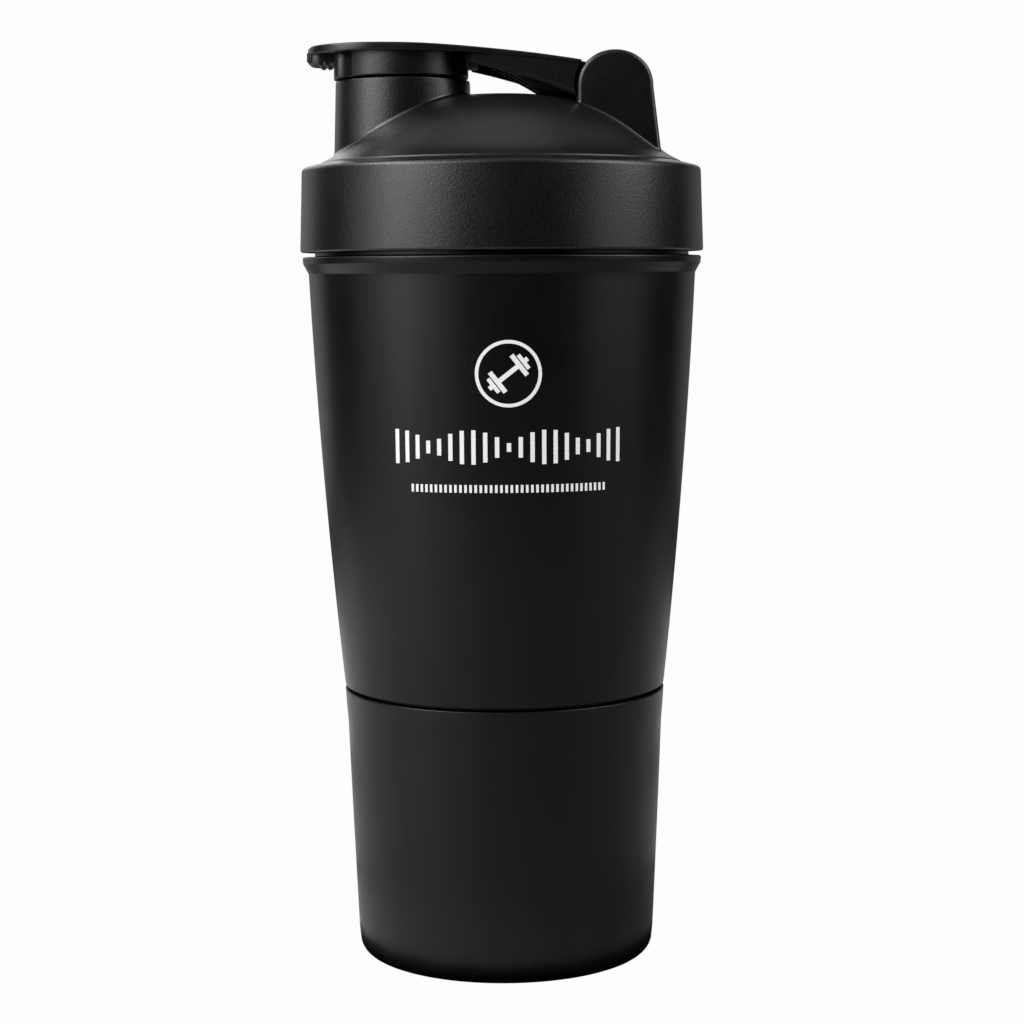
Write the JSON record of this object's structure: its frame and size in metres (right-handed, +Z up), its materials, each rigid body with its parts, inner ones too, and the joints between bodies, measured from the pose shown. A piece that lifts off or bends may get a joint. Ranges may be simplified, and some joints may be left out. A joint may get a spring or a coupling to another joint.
{
  "type": "protein shaker bottle",
  "caption": "Black plastic protein shaker: screw lid with a domed top, spout and flip cap, tapered cup with a strainer inside, and a powder jar screwed on below.",
  "frame": {"origin": "centre of the foot, on the surface the shaker stands on", "axes": "+Z up along the bottle's axis, -X towards the spout and thumb tab, +X towards the cap's hinge"},
  "size_m": [0.0988, 0.0988, 0.2236],
  "materials": {
    "body_plastic": "satin moulded polypropylene, black",
    "lid_plastic": "fine-grained moulded polypropylene, black",
    "silicone": "matt silicone, black",
    "strainer_plastic": "smooth moulded plastic, black",
    "pin_steel": "ground stainless steel",
    "print": "white pad print"
  },
  "bodies": {
    "storage_jar": {"storage_jar": "body_plastic"},
    "jar_gasket": {"jar_gasket": "silicone"},
    "main_cup": {"main_cup": "body_plastic"},
    "lid_gasket": {"lid_gasket": "silicone"},
    "lid": {"lid_shell": "lid_plastic"},
    "strainer": {"strainer": "strainer_plastic"},
    "flip_cap": {"flip_cap": "lid_plastic", "spout_seal": "silicone", "hinge_pin": "pin_steel"}
  },
  "joints": [
    {"name": "cup_rise", "type": "slide", "parent": "storage_jar", "child": "jar_gasket", "axis": [0, 0, 1], "range_m": [0, 0.0101]},
    {"name": "cup_turn", "type": "hinge", "parent": "jar_gasket", "child": "main_cup", "pos_m": [0, 0, 0.0609], "axis": [0, 0, 1], "range_deg": [0, 450]},
    {"name": "lid_rise", "type": "slide", "parent": "main_cup", "child": "lid_gasket", "axis": [0, 0, 1], "range_m": [0, 0.0151]},
    {"name": "lid_turn", "type": "hinge", "parent": "lid_gasket", "child": "lid", "pos_m": [0, 0, 0.182], "axis": [0, 0, 1], "range_deg": [0, 450]},
    {"name": "flip_open", "type": "hinge", "parent": "lid", "child": "flip_cap", "pos_m": [0.0272, 0, 0.2138], "axis": [0, 1, 0], "range_deg": [0, 130]},
    {"name": "strainer_pull", "type": "slide", "parent": "lid", "child": "strainer", "axis": [0, 0, -1], "range_m": [0, 0.022]}
  ],
  "couplings": [
    {"joint": "cup_rise", "follows": "cup_turn", "m_per_rad": 0.0012732},
    {"joint": "lid_rise", "follows": "lid_turn", "m_per_rad": 0.0019099}
  ]
}
